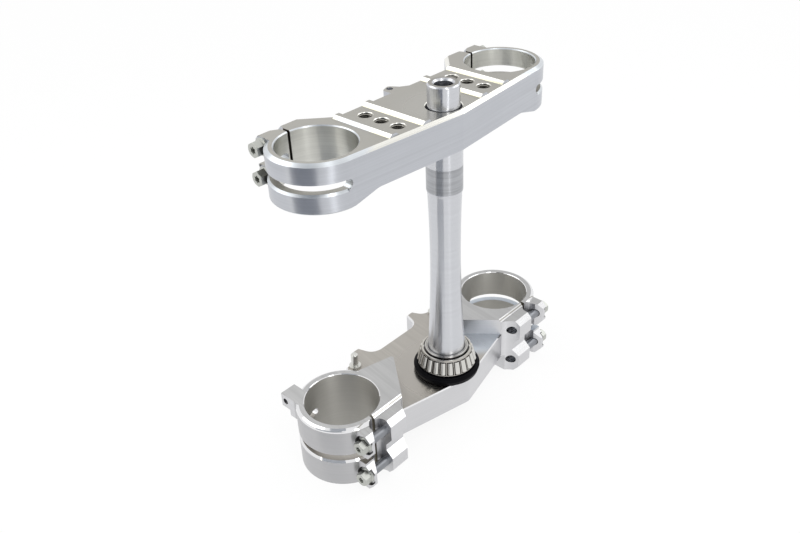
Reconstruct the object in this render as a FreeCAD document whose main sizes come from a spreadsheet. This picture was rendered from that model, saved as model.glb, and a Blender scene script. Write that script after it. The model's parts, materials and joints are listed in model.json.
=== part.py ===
import FreeCAD, Part
import math
import os
import re
import Sketcher

# Motorcycle triple clamp: two billet fork clamps on one hollow steering stem, with the lower
# head bearing, its dust seal, the pinch bolts and the two locating studs.
# Frame: Z runs up the steering axis, +Y points to the front wheel, +X to the rider's right.
# The origin is on the steering axis, level with the underside of the lower clamp's beam.

SIZES = {
    # Both clamps
    "fork_x": 97.0,                 # half the distance between the fork legs
    "fork_y": 25.0,                 # offset of the fork legs ahead of the stem
    "slit_width": 2.2,              # saw cut that lets a ring close round its leg
    "slit_in": 0.5,
    "slot_out": 1.5,                # rounded inner end of the level slot
    "slot_height": 7.0,             # level slot that splits a ring into two bands
    "slot_reach": 90.0,             # how far the slot's tools run along Y
    "slot_lip": 1.6,                # bevel on the lower band beside the slot
    "foot_bevel": 1.0,              # bevel under a ring
    "overrun": 1.0,                 # how far a cutting tool runs past what it cuts

    # Upper clamp
    "upper_thick": 28.6,
    "upper_ring_drop": 6.6,         # how far the rings reach below the beam
    "upper_beam_foot": 229.3,
    "upper_wall": 6.5,              # of a ring
    "upper_bore_radius": 27.5,
    "upper_bore_bevel": 0.8,
    "upper_rim_wide": 3.0,          # bevel round the top of a ring, measured across
    "upper_rim_deep": 2.0,          # and measured down
    "upper_rear_apex": 17.8,        # the rear edge is a shallow V behind the stem
    "upper_front": 44.5,
    "upper_front_flat_in": 41.0,
    "upper_flare_inner_in": 36.0,   # the front edge flares out to the pinch lugs
    "upper_flare_ahead": 4.7,       # of the beam's front edge
    "upper_flare_outer_in": 18.1,
    "upper_nose_ahead": 7.2,        # front face of the lugs, ahead of the ring
    "upper_nose_bevel": 2.9,        # and the bevel above and below it
    "upper_lug_outer_out": 17.0,
    "upper_lug_root_ahead": 5.0,
    "upper_mouth_out": 6.6,         # the slit opens into a wide mouth at the front
    "upper_mouth_inner_in": 3.0,
    "upper_mouth_ahead": 0.5,
    "upper_under_inner_in": 19.5,   # below, the beam slopes down to the rings' feet
    "upper_under_outer_out": 3.5,
    "upper_under_round": 16.0,
    "stem_play": 0.05,              # of the stem in the upper clamp
    "upper_stem_bevel": 0.6,
    "rib_height": 2.2,              # four clamping pads for the handlebar mounts
    "rib_inner_low_in": 19.7,
    "rib_inner_high_in": 17.4,
    "rib_inner_far_in": 13.1,
    "rib_inner_foot_in": 9.9,
    "rib_outer_low_out": 9.3,
    "rib_outer_high_out": 12.1,
    "rib_outer_far_out": 16.1,
    "rib_outer_foot_out": 18.3,
    "rib_inner_rear": 11.9,
    "rib_outer_rear": 8.9,
    "bar_hole_x": 45.7,
    "bar_hole_rear": 0.8,
    "bar_hole_pitch": 15.2,
    "bar_hole_radius": 5.0,
    "bar_hole_bevel": 0.5,
    "lock_ear_left": 6.0,           # small ear ahead of the beam
    "lock_ear_right": 13.7,
    "lock_ear_tip_ahead": 11.9,
    "lock_ear_shoulder_ahead": 8.5,
    "lock_ear_tip_x": 2.6,
    "lock_ear_waist_x": 7.5,
    "lock_ear_waist_ahead": 4.1,
    "lock_ear_thick": 12.0,
    "lock_ear_hole_ahead": 7.1,
    "lock_ear_hole_radius": 2.5,
    "lock_ear_round": 3.0,
    "upper_bolt_seat_out": 16.6,
    "upper_bolt_ahead": 1.2,
    "upper_bolt_inset": 7.1,        # of the bolts from a ring's top and foot

    # Lower clamp
    "step_height": 15.0,            # raised ground round each ring, above the floor
    "lower_floor": 25.5,            # the beam between the rings
    "lower_ring_drop": 16.5,        # how far the rings reach below the beam
    "lower_wall": 6.9,
    "lower_bore_radius": 29.5,
    "lower_bore_bevel": 0.5,
    "lower_rim_wide": 2.6,
    "lower_rim_deep": 2.8,
    "lower_rim_brow_wide": 0.8,     # the rim is rounded over in two steps
    "lower_rim_brow_deep": 1.0,
    "lower_rear_apex": 24.0,
    "lower_apex_round": 10.0,
    "lower_rear_bevel": 0.9,
    "lower_rear_corner_in": 35.0,
    "lower_rear_corner_behind": 1.0,
    "lower_web_in": 31.0,           # where the beam ends inside the rings' ground
    "ground_rear_in": 3.0,          # rear edge of the raised ground, ahead of the ring's rear
    "lower_front": 58.0,
    "lower_front_flat_x": 15.0,
    "step_corner_in": 33.0,         # wall between the beam and the raised ground
    "step_nose_x": 32.3,
    "step_nose_y": 30.7,
    "step_nose_round": 2.0,
    "step_front_y": 38.8,
    "shelf_drop": 2.5,              # top of the pinch lugs behind the rings, below the ground
    "shelf_bevel": 2.2,
    "lug_brow_behind": 5.8,         # rear profile of the lugs, from the shelf down
    "lug_brow_drop": 4.3,
    "lug_face_behind": 10.2,
    "lug_face_over": 12.0,          # heights on the lug's rear, from the level slot's foot
    "lug_valley_behind": 3.9,
    "lug_valley_over": 3.5,
    "lug_valley_under": 2.2,
    "lug_chin_under": 7.9,
    "lug_chin_over": 5.0,           # and from the ring's foot
    "lug_outer_out": 16.8,
    "scallop_in": 40.0,             # hollow beside the inner lug, where the bolts' ends show
    "scallop_behind": 12.6,
    "scallop_radius": 17.2,
    "lug_heel_in": 29.0,            # below the beam the inner lug is cut back to here
    "gap_inner_in": 6.0,            # U shaped gap that the bolts cross
    "gap_out": 1.0,
    "gap_behind": 4.0,
    "gap_radius": 7.0,
    "gap_mouth_out": 12.4,
    "lower_bolt_seat_out": 15.0,
    "lower_bolt_behind": 3.6,
    "lower_bolt_inset": 12.35,
    "ear_root_x": 12.0,             # ears on the front edge, with the studs near their roots
    "ear_root_y": 30.0,
    "ear_hollow_in": 23.5,
    "ear_hollow_ahead": 2.8,
    "ear_tip_inner_in": 19.3,
    "ear_tip_inner_ahead": 16.2,
    "ear_tip_outer_in": 11.9,
    "ear_tip_outer_ahead": 16.3,
    "ear_waist_in": 7.1,
    "ear_waist_ahead": 5.4,
    "ear_bevel": 1.4,
    "ear_boss_out": 5.5,
    "ear_boss_ahead": 5.3,
    "ear_heel_in": 35.5,
    "ear_heel_ahead": 33.2,
    "ear_join_in": 26.0,
    "ear_join_ahead": 23.0,
    "ear_hollow_round": 9.0,
    "ear_tip_round": 2.0,
    "ear_waist_round": 8.0,
    "ear_boss_round": 3.0,
    "guide_outer_out": 27.0,        # lug on the left ring that carries the brake hose guide
    "guide_inner_out": 13.0,
    "guide_front_ahead": 41.4,
    "guide_root_ahead": 19.0,
    "guide_bend_ahead": 32.3,
    "guide_tip_deep": 12.3,         # its foot steps up towards the tip
    "guide_root_deep": 17.9,
    "guide_hole_ahead": 36.6,
    "guide_hole_deep": 5.9,
    "guide_hole_radius": 2.6,
    "boss_wall": 3.6,               # of the turned boss under the dust seal
    "boss_height": 4.4,

    # Steering stem
    "stem_seat_radius": 15.0,       # pressed into the lower clamp and through the bearing
    "stem_seat_over": 5.0,          # how far the seat shows above the bearing
    "stem_waist_arc": 1213.0,       # radius of the long hollow between the bearings
    "stem_waist_end_radius": 12.95,
    "stem_shoulder": 3.0,
    "upper_bearing_radius": 13.7,
    "upper_bearing_length": 35.8,   # ground seat below the upper clamp
    "stem_neck_radius": 11.7,       # plain neck above the upper clamp
    "stem_clamp_length": 14.7,
    "stem_clamp_radius": 12.95,
    "stem_stand": 16.8,             # how far the stem stands out of the upper clamp
    "stem_top_bevel": 1.0,
    "stem_bore_radius": 6.6,
    "stem_bore_bevel": 1.4,
    "stem_foot_bevel": 0.6,

    # Lower head bearing, a taper roller bearing without its cup
    "seal_web": 1.6,                # of the dust seal, under the cone
    "cone_height": 17.0,
    "cone_flange_in": 1.0,
    "cone_top_in": 3.6,
    "cone_bevel": 0.8,
    "roller_count": 23,
    "roller_tilt": 13.5,            # angle between a roller's axis and the steering axis
    "roller_pitch_out": 7.0,        # of the large ends' centres from the stem's seat
    "roller_over": 3.0,             # height of the large ends' centres above the cone's foot
    "roller_radius": 2.7,
    "roller_length": 10.4,
    "roller_gap": 0.08,             # running clearance of a roller on the cone's track
    "roller_end_gap": 0.12,         # and between the cone's ribs
    "first_roller_angle": 228.0,
    "cage_over": 2.2,
    "cage_height": 13.2,
    "cage_foot_out": 1.9,
    "cage_top_in": 1.5,
    "cage_wall": 0.8,
    "cage_lip_in": 2.8,
    "cage_window_gap": 0.25,        # open line round a roller in its window

    # Dust seal
    "seal_lip_out": 5.5,            # outside the circle of the rollers' large ends
    "seal_lip_drop": 1.3,           # below the cone's foot
    "seal_shoulder_out": 3.2,
    "seal_shoulder_rise": 1.1,
    "seal_play": 0.6,               # of the seal's skirt round the boss
    "seal_skirt": 0.4,
    "seal_groove": 0.5,
    "seal_lip": 1.0,
    "seal_well_play": 1.0,
    "seal_step_out": 4.2,
    "seal_step_drop": 0.9,

    # Pinch bolts
    "bolt_radius": 3.95,
    "bolt_length": 30.0,
    "bolt_point": 1.0,
    "bolt_play": 0.05,              # in its threaded hole, made at the thread's outer size
    "bolt_way_play": 0.45,          # in its clearance hole
    "flange_radius": 6.5,
    "flange_thick": 1.5,
    "flange_slope": 0.8,
    "head_height": 7.8,
    "head_across": 10.0,
    "head_bevel_in": 0.1,           # of the head's crown inside its flats
    "head_crown_deep": 1.05,
    "recess_radius": 2.1,
    "recess_lobe": 0.62,
    "recess_deep": 3.5,
    "seat_play": 1.7,               # of a bolt's flange in its spot face

    # Locating studs
    "stud_x": 50.5,
    "stud_ahead": 0.6,              # of the lower clamp's front edge
    "stud_radius": 3.0,
    "stud_height": 13.2,
    "stud_flange_radius": 5.0,
    "stud_flange_thick": 1.8,
    "stud_point": 0.8,
    "stud_thread_deep": 10.0,
}

# Places that follow from the sizes. In SIZES, a name ending in _in or _out is measured along X
# from the leg's axis or the stud's or bar hole's, towards the middle or away from it.
PLACES = {
    "slit_x": "fork_x - slit_in",
    "slot_x": "fork_x + slot_out + slot_height / 2",
    "upper_front_flat_x": "fork_x - upper_front_flat_in",
    "upper_flare_inner_x": "fork_x - upper_flare_inner_in",
    "upper_flare_outer_x": "fork_x - upper_flare_outer_in",
    "upper_mouth_inner_x": "fork_x - upper_mouth_inner_in",
    "upper_under_inner_x": "fork_x - upper_under_inner_in",
    "upper_lug_outer_x": "fork_x + upper_lug_outer_out",
    "upper_mouth_x": "fork_x + upper_mouth_out",
    "upper_under_outer_x": "fork_x + upper_under_outer_out",
    "upper_bolt_seat_x": "fork_x + upper_bolt_seat_out",
    "upper_nose_front": "fork_y + upper_ring_radius + upper_nose_ahead",
    "upper_mouth_y": "fork_y + upper_ring_radius + upper_mouth_ahead",
    "upper_bolt_y": "fork_y + upper_ring_radius + upper_bolt_ahead",
    "upper_flare_inner_y": "upper_front + upper_flare_ahead",
    "upper_lug_root": "fork_y + upper_lug_root_ahead",
    "lock_ear_reach": "upper_front + lock_ear_tip_ahead",
    "lock_ear_shoulder": "upper_front + lock_ear_shoulder_ahead",
    "lock_ear_waist_y": "upper_front + lock_ear_waist_ahead",
    "lock_ear_hole_y": "upper_front + lock_ear_hole_ahead",
    "upper_ring_radius": "upper_bore_radius + upper_wall",
    "upper_top": "upper_beam_foot + upper_thick",
    "upper_ring_foot": "upper_beam_foot - upper_ring_drop",
    "upper_slot_foot": "(upper_top + upper_ring_foot - slot_height) / 2",
    "upper_bolt_high": "upper_top - upper_bolt_inset",
    "upper_bolt_low": "upper_ring_foot + upper_bolt_inset",
    "upper_stem_hole": "stem_clamp_radius + stem_play",
    "rib_inner_low_x": "bar_hole_x - rib_inner_low_in",
    "rib_inner_high_x": "bar_hole_x - rib_inner_high_in",
    "rib_inner_far_x": "bar_hole_x - rib_inner_far_in",
    "rib_inner_foot_x": "bar_hole_x - rib_inner_foot_in",
    "rib_outer_low_x": "bar_hole_x + rib_outer_low_out",
    "rib_outer_high_x": "bar_hole_x + rib_outer_high_out",
    "rib_outer_far_x": "bar_hole_x + rib_outer_far_out",
    "rib_outer_foot_x": "bar_hole_x + rib_outer_foot_out",
    "lower_rear_corner_x": "fork_x - lower_rear_corner_in",
    "lower_web_x": "fork_x - lower_web_in",
    "step_corner_x": "fork_x - step_corner_in",
    "scallop_x": "fork_x - scallop_in",
    "gap_inner_x": "fork_x - gap_inner_in",
    "ear_heel_x": "fork_x - ear_heel_in",
    "ear_join_x": "fork_x - ear_join_in",
    "lug_heel_x": "fork_x - lug_heel_in",
    "lug_outer_x": "fork_x + lug_outer_out",
    "gap_x": "fork_x + gap_out",
    "gap_mouth_x": "fork_x + gap_mouth_out",
    "lower_bolt_seat_x": "fork_x + lower_bolt_seat_out",
    "guide_outer_x": "fork_x + guide_outer_out",
    "guide_inner_x": "fork_x + guide_inner_out",
    "lug_brow_y": "fork_y - lower_ring_radius - lug_brow_behind",
    "lug_face_y": "fork_y - lower_ring_radius - lug_face_behind",
    "lug_valley_y": "fork_y - lower_ring_radius - lug_valley_behind",
    "scallop_y": "fork_y - lower_ring_radius - scallop_behind",
    "gap_y": "fork_y - lower_ring_radius - gap_behind",
    "lower_bolt_y": "fork_y - lower_ring_radius - lower_bolt_behind",
    "ground_rear": "fork_y - lower_ring_radius + ground_rear_in",
    "lower_rear_corner_y": "ground_rear - lower_rear_corner_behind",
    "guide_front": "fork_y + guide_front_ahead",
    "guide_root": "fork_y + guide_root_ahead",
    "guide_bend": "fork_y + guide_bend_ahead",
    "guide_hole_y": "fork_y + guide_hole_ahead",
    "ear_heel_y": "fork_y + ear_heel_ahead",
    "ear_join_y": "fork_y + ear_join_ahead",
    "ear_hollow_x": "stud_x - ear_hollow_in",
    "ear_hollow_y": "stud_y + ear_hollow_ahead",
    "ear_tip_inner_x": "stud_x - ear_tip_inner_in",
    "ear_tip_inner_y": "stud_y + ear_tip_inner_ahead",
    "ear_tip_outer_x": "stud_x - ear_tip_outer_in",
    "ear_tip_outer_y": "stud_y + ear_tip_outer_ahead",
    "ear_waist_x": "stud_x - ear_waist_in",
    "ear_waist_y": "stud_y + ear_waist_ahead",
    "ear_boss_x": "stud_x + ear_boss_out",
    "ear_boss_y": "stud_y + ear_boss_ahead",
    "stud_y": "lower_front + stud_ahead",
    "lower_ring_radius": "lower_bore_radius + lower_wall",
    "lower_top": "lower_floor + step_height",
    "lower_ring_foot": "-lower_ring_drop",
    "lower_slot_foot": "(lower_top + lower_ring_foot - slot_height) / 2",
    "shelf": "lower_top - shelf_drop",
    "lug_face_foot": "lower_slot_foot + lug_face_over",
    "lug_valley_top": "lower_slot_foot + lug_valley_over",
    "lug_valley_foot": "lower_slot_foot - lug_valley_under",
    "lug_chin_top": "lower_slot_foot - lug_chin_under",
    "lug_chin_foot": "lower_ring_foot + lug_chin_over",
    "lower_bolt_high": "lower_top - lower_bolt_inset",
    "lower_bolt_low": "lower_ring_foot + lower_bolt_inset",
    "guide_tip_foot": "lower_top - guide_tip_deep",
    "guide_root_foot": "lower_top - guide_root_deep",
    "guide_hole_z": "lower_top - guide_hole_deep",
    "boss_top": "lower_floor + boss_height",
    "boss_radius": "stem_seat_radius + boss_wall",
    "stem_seat_top": "cone_foot + cone_height + stem_seat_over",
    "upper_bearing_foot": "upper_beam_foot - upper_bearing_length",
    "stem_waist_end": "upper_bearing_foot - stem_shoulder",
    "stem_neck_foot": "upper_beam_foot + stem_clamp_length",
    "stem_top": "upper_top + stem_stand",
    "cone_foot": "boss_top + seal_web",
    "roller_pitch_radius": "stem_seat_radius + roller_pitch_out",
    "cone_flange_radius": "roller_pitch_radius - cone_flange_in",
    "cone_top_radius": "roller_pitch_radius - cone_top_in",
    "cage_top_radius": "roller_pitch_radius - cage_top_in",
    "cage_lip_radius": "roller_pitch_radius - cage_lip_in",
    "cage_foot_radius": "roller_pitch_radius + cage_foot_out",
    "roller_foot": "cone_foot + roller_over",
    "cage_foot": "cone_foot + cage_over",
    "cage_top": "cage_foot + cage_height",
    "seal_radius": "roller_pitch_radius + seal_lip_out",
    "seal_shoulder_radius": "roller_pitch_radius + seal_shoulder_out",
    "seal_step_radius": "roller_pitch_radius + seal_step_out",
    "seal_lip_height": "cone_foot - seal_lip_drop",
    "seal_shoulder_top": "cone_foot + seal_shoulder_rise",
    "seal_step_top": "seal_shoulder_top - seal_step_drop",
    "seal_inner_radius": "boss_radius + seal_play",
    "seal_well_radius": "cone_flange_radius + seal_well_play",
    "bolt_thread_radius": "bolt_radius + bolt_play",
    "bolt_way_radius": "bolt_radius + bolt_way_play",
    "seat_radius": "flange_radius + seat_play",
    "head_bevel_radius": "head_across / 2 - head_bevel_in",
}

doc = FreeCAD.newDocument("TripleClamp")
sheet = doc.addObject("Spreadsheet::Sheet", "Sizes")
for row, (alias, value) in enumerate({**SIZES, **PLACES}.items(), start=1):
    sheet.set(f"A{row}", alias)
    sheet.setAlias(f"B{row}", alias)
    sheet.set(f"B{row}", f"={value}" if alias in PLACES else str(value))
doc.recompute()

WORD = re.compile(r"[a-z][a-z_]+")
UP = FreeCAD.Vector(0, 0, 1)


def pointed(word):
    """A word of an expression, pointed at its cell when the sheet has one of that name."""
    return "Sizes." + word.group() if sheet.getCellFromAlias(word.group()) else word.group()


def formula(text):
    """The expression with every named size pointed at its cell of the sheet."""
    return WORD.sub(pointed, text)


def bind(item, **sizes):
    """Bind properties to expressions; x, y and z stand for the place of the item."""
    for name, text in sizes.items():
        path = ".Placement.Base." + name if name in "xyz" else name
        item.setExpression(path, formula(text))
    return item


def draw(body, plane, level, corners, arcs):
    """A closed outline on one of the body's own origin planes, its corners bound to the sheet."""
    sketch = body.newObject("Sketcher::SketchObject", body.Name + "_outline")
    support = next(item for item in body.Origin.OriginFeatures if item.Role == plane)
    sketch.AttachmentSupport = [(support, "")]
    sketch.MapMode = "FlatFace"
    sketch.setExpression("AttachmentOffset.Base.z", formula(level))
    marks = []
    for across, up in corners:
        mark = sketch.addGeometry(Part.Point(FreeCAD.Vector(len(marks) + 1, 1, 0)), True)
        for kind, text in (("DistanceX", across), ("DistanceY", up)):
            number = sketch.addConstraint(Sketcher.Constraint(kind, -1, 1, mark, 1, 1.0))
            sketch.setExpression(f"Constraints[{number}]", formula(text))
        marks.append(mark)
    doc.recompute()
    for index, start in enumerate(marks):
        end = marks[(index + 1) % len(marks)]
        first = sketch.getPoint(start, 1)
        last = sketch.getPoint(end, 1)
        if index in arcs:
            side = (last - first).cross(UP).normalize()
            radius = sheet.get(arcs[index])
            half = (last - first).Length / 2
            middle = (first + last) / 2 - side * (radius - math.sqrt(radius**2 - half**2))
            edge = sketch.addGeometry(Part.Arc(first, middle, last), False)
            number = sketch.addConstraint(Sketcher.Constraint("Radius", edge, radius))
            sketch.setExpression(f"Constraints[{number}]", formula(arcs[index]))
        else:
            edge = sketch.addGeometry(Part.LineSegment(first, last), False)
        forward = (sketch.getPoint(edge, 1) - first).Length < 1e-6
        ends = (1, 2) if forward else (2, 1)
        sketch.addConstraint(Sketcher.Constraint("Coincident", edge, ends[0], start, 1))
        sketch.addConstraint(Sketcher.Constraint("Coincident", edge, ends[1], end, 1))
    return sketch, marks


def plate(name, plane, corners, low, high, rounds=None):
    """A flat outline made solid from low to high along X, Y or Z, with some corners rounded."""
    body = doc.addObject("PartDesign::Body", name)
    level = f"-({high})" if plane == "XZ_Plane" else low
    sketch, marks = draw(body, plane, level, corners, {})
    pad = body.newObject("PartDesign::Pad", name + "_pad")
    pad.Profile = sketch
    pad.setExpression("Length", formula(f"({high}) - ({low})"))
    doc.recompute()
    along = sketch.Placement.Rotation.multVec(UP)
    for radius in sorted(set((rounds or {}).values())):
        base = body.Tip
        edges = []
        for index in [index for index, size in rounds.items() if size == radius]:
            foot = sketch.Placement.multVec(sketch.getPoint(marks[index], 1))
            for number, edge in enumerate(base.Shape.Edges, start=1):
                arms = [vertex.Point - foot for vertex in edge.Vertexes]
                if len(arms) == 2 and all(arm.cross(along).Length < 1e-4 for arm in arms):
                    edges.append(f"Edge{number}")
        fillet = body.newObject("PartDesign::Fillet", name + "_round")
        fillet.Base = (base, edges)
        fillet.setExpression("Radius", formula(radius))
        doc.recompute()
    return body


def turned(name, corners, arcs=None):
    """A half section of (radius, height) corners turned round the Z axis."""
    body = doc.addObject("PartDesign::Body", name)
    sketch, marks = draw(body, "XZ_Plane", "0", corners, arcs or {})
    turn = body.newObject("PartDesign::Revolution", name + "_turn")
    turn.Profile = sketch
    turn.ReferenceAxis = (sketch, ["V_Axis"])
    turn.Angle = 360
    return body


def rod(name, axis, radius, low, high, x="0", y="0", z="0"):
    """A cylinder along X or Y from low to high, for holes, spot faces and slot ends."""
    cylinder = doc.addObject("Part::Cylinder", name)
    tip = FreeCAD.Vector(1, 0, 0) if axis == "X" else FreeCAD.Vector(0, 1, 0)
    cylinder.Placement.Rotation = FreeCAD.Rotation(UP, tip)
    place = {"x": x, "y": y, "z": z, axis.lower(): low}
    return bind(cylinder, Radius=radius, Height=f"({high}) - ({low})", **place)


def post(name, radius, low, high, x="0", y="0"):
    """An upright cylinder from low to high."""
    cylinder = doc.addObject("Part::Cylinder", name)
    return bind(cylinder, Radius=radius, Height=f"({high}) - ({low})", x=x, y=y, z=low)


def fuse(name, *items):
    """One solid out of several."""
    result = doc.addObject("Part::MultiFuse", name)
    result.Shapes = list(items)
    result.Refine = True
    return result


def cut(name, base, *tools):
    """The base with all the tools taken away."""
    result = doc.addObject("Part::Cut", name)
    result.Base = base
    result.Tool = tools[0] if len(tools) == 1 else fuse(name + "_tools", *tools)
    result.Refine = True
    return result


def mirrored(item):
    """The same piece on the other side of the bike."""
    copy = doc.addObject("Part::Mirroring", item.Name + "_left")
    copy.Source = item
    copy.Normal = FreeCAD.Vector(1, 0, 0)
    return copy


def both_sides(right):
    """The outline's right half, from the centre line outwards and round, with its mirror image."""
    left = [(f"-({x})", y) for x, y in reversed(right) if x != "0"]
    return right + left


def bevelled(body, pick, wide, deep):
    """Bevel the picked edges of the body."""
    base = body.Tip
    edges = [f"Edge{number}" for number, edge in enumerate(base.Shape.Edges, start=1) if pick(edge)]
    bevel = body.newObject("PartDesign::Chamfer", body.Name + "_bevel")
    bevel.Base = (base, edges)
    bevel.ChamferType = "Two distances"
    bevel.setExpression("Size", formula(wide))
    bevel.setExpression("Size2", formula(deep))
    doc.recompute()
    return body


def along_rim(height, rear, front):
    """A test for the edges at this height that lie wholly between two values of Y."""
    def pick(edge):
        return all(abs(v.Z - sheet.get(height)) < 1e-4 and rear < v.Y < front for v in edge.Vertexes)
    return pick


def hole(name, radius, bevel, low, high, x="0", y="0"):
    """A cutting tool for an upright hole with a 45 degree bevel at both mouths."""
    tool = turned(name, [
        ("0", f"{low} - overrun"),
        (f"{radius} + {bevel} + overrun", f"{low} - overrun"),
        (radius, f"{low} + {bevel}"),
        (radius, f"{high} - {bevel}"),
        (f"{radius} + {bevel} + overrun", f"{high} + overrun"),
        ("0", f"{high} + overrun"),
    ])
    return bind(tool, x=x, y=y)


def level_slot(name, ring_radius, foot):
    """The tools that split a ring level with the ground, from the slot's rounded end outwards."""
    middle = f"({foot}) + slot_height / 2"
    end = rod(name + "_end", "Y", "slot_height / 2", "-slot_reach", "slot_reach", x="slot_x", z=middle)
    gap = plate(name + "_gap", "XZ_Plane", [
        ("slot_x", foot),
        ("fork_x + slot_reach", foot),
        ("fork_x + slot_reach", f"{foot} + slot_height"),
        ("slot_x", f"{foot} + slot_height"),
    ], "-slot_reach", "slot_reach")
    lip = turned(name + "_lip", [
        (f"{ring_radius} - slot_lip", foot),
        (f"{ring_radius} + overrun", f"{foot} - slot_lip - overrun"),
        (f"{ring_radius} + overrun", foot),
    ])
    bind(lip, x="fork_x", y="fork_y")
    outside = doc.addObject("Part::Box", name + "_outside")
    bind(outside, Length="slot_reach", Width="2 * slot_reach", Height="slot_height",
         x="slot_x", y="-slot_reach", z=f"{foot} - slot_height")
    outer_lip = doc.addObject("Part::Common", name + "_outer_lip")
    outer_lip.Base = lip
    outer_lip.Tool = outside
    return [end, gap, outer_lip]


def bolt_holes(name, seat, way_end, thread_end, y, high, low):
    """Clearance hole, threaded hole and spot face for the two bolts of one ring."""
    tools = []
    for place, z in (("high", high), ("low", low)):
        tools.append(rod(f"{name}_{place}_way", "X", "bolt_way_radius", way_end, seat, y=y, z=z))
        tools.append(rod(f"{name}_{place}_thread", "X", "bolt_thread_radius", thread_end, way_end, y=y, z=z))
        tools.append(rod(f"{name}_{place}_seat", "X", "seat_radius", seat, f"{seat} + seat_radius", y=y, z=z))
    return tools


def upper_clamp():
    """The upper clamp, milled from one billet."""
    beam = plate("upper_beam", "XY_Plane", both_sides([
        ("0", "-upper_rear_apex"),
        ("fork_x", "fork_y - upper_ring_radius"),
        ("fork_x", "upper_nose_front"),
        ("upper_flare_outer_x", "upper_nose_front"),
        ("upper_flare_inner_x", "upper_flare_inner_y"),
        ("upper_front_flat_x", "upper_front"),
    ]), "upper_ring_foot", "upper_top")
    rear_end = sheet.get("fork_y") - sheet.get("upper_ring_radius") + sheet.get("overrun")
    bevelled(beam, along_rim("upper_top", -math.inf, rear_end), "upper_rim_deep", "upper_rim_wide")
    for height in ("upper_top", "upper_ring_foot"):
        bevelled(beam, along_rim(height, sheet.get("upper_flare_inner_y") - sheet.get("overrun"), math.inf),
                 "upper_nose_bevel", "upper_nose_bevel")
    ring = bind(turned("upper_ring", [
        ("0", "upper_ring_foot"),
        ("upper_ring_radius - foot_bevel", "upper_ring_foot"),
        ("upper_ring_radius", "upper_ring_foot + foot_bevel"),
        ("upper_ring_radius", "upper_top - upper_rim_deep"),
        ("upper_ring_radius - upper_rim_wide", "upper_top"),
        ("0", "upper_top"),
    ]), x="fork_x", y="fork_y")
    outer_lug = plate("upper_outer_lug", "YZ_Plane", [
        ("upper_lug_root", "upper_ring_foot"),
        ("upper_nose_front - upper_nose_bevel", "upper_ring_foot"),
        ("upper_nose_front", "upper_ring_foot + upper_nose_bevel"),
        ("upper_nose_front", "upper_top - upper_nose_bevel"),
        ("upper_nose_front - upper_nose_bevel", "upper_top"),
        ("upper_lug_root", "upper_top"),
    ], "fork_x", "upper_lug_outer_x")
    ribs = []
    for name in ("inner", "outer"):
        ribs.append(plate(f"rib_{name}", "XZ_Plane", [
            (f"rib_{name}_low_x", "upper_top - overrun"),
            (f"rib_{name}_low_x", "upper_top"),
            (f"rib_{name}_high_x", "upper_top + rib_height"),
            (f"rib_{name}_far_x", "upper_top + rib_height"),
            (f"rib_{name}_foot_x", "upper_top"),
            (f"rib_{name}_foot_x", "upper_top - overrun"),
        ], f"-rib_{name}_rear", "upper_front"))
    side = fuse("upper_side", ring, outer_lug, *ribs)
    lock_ear = plate("lock_ear", "XY_Plane", [
        ("-lock_ear_left", "upper_front - overrun"),
        ("-lock_ear_left", "lock_ear_shoulder"),
        ("lock_ear_tip_x", "lock_ear_reach"),
        ("lock_ear_waist_x", "lock_ear_waist_y"),
        ("lock_ear_right", "upper_front"),
        ("lock_ear_right", "upper_front - overrun"),
    ], "upper_top - lock_ear_thick", "upper_top", {1: "lock_ear_round", 2: "lock_ear_round"})
    blank = fuse("upper_blank", beam, side, mirrored(side), lock_ear)

    slit = plate("upper_slit", "XY_Plane", [
        ("slit_x - slit_width / 2", "fork_y"),
        ("slit_x + slit_width / 2", "fork_y"),
        ("slit_x + slit_width / 2", "upper_mouth_y"),
        ("upper_mouth_x", "upper_nose_front - upper_nose_bevel"),
        ("upper_mouth_x", "upper_nose_front + overrun"),
        ("upper_mouth_inner_x", "upper_nose_front + overrun"),
        ("upper_mouth_inner_x", "upper_nose_front - upper_nose_bevel"),
        ("slit_x - slit_width / 2", "upper_mouth_y"),
    ], "upper_ring_foot - overrun", "upper_top + overrun")
    bore = hole("upper_bore", "upper_bore_radius", "upper_bore_bevel",
                "upper_ring_foot", "upper_top", "fork_x", "fork_y")
    bar_holes = [
        hole(f"bar_hole_{place}", "bar_hole_radius", "bar_hole_bevel", "upper_beam_foot", "upper_top",
             "bar_hole_x", f"bar_hole_rear + {place} * bar_hole_pitch")
        for place in range(3)
    ]
    bolts = bolt_holes("upper_bolts", "upper_bolt_seat_x", "slit_x",
                       "upper_bolt_seat_x - bolt_length - overrun",
                       "upper_bolt_y", "upper_bolt_high", "upper_bolt_low")
    slot = level_slot("upper_slot", "upper_ring_radius", "upper_slot_foot")
    side_tools = fuse("upper_side_tools", slit, bore, *bar_holes, *bolts, *slot)
    under = plate("upper_under", "XZ_Plane", both_sides([
        ("0", "upper_ring_foot - overrun"),
        ("upper_under_outer_x", "upper_ring_foot - overrun"),
        ("upper_under_outer_x", "upper_ring_foot"),
        ("upper_under_inner_x", "upper_beam_foot"),
    ]), "-(upper_rear_apex + overrun)", "upper_front", {3: "upper_under_round", 4: "upper_under_round"})
    stem_hole = hole("upper_stem_hole", "upper_stem_hole", "upper_stem_bevel", "upper_beam_foot", "upper_top")
    ear_hole = post("lock_ear_hole", "lock_ear_hole_radius", "upper_top - lock_ear_thick - overrun",
                    "upper_top + overrun", "0", "lock_ear_hole_y")
    return cut("upper_clamp", blank, side_tools, mirrored(side_tools), under, stem_hole, ear_hole)


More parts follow.
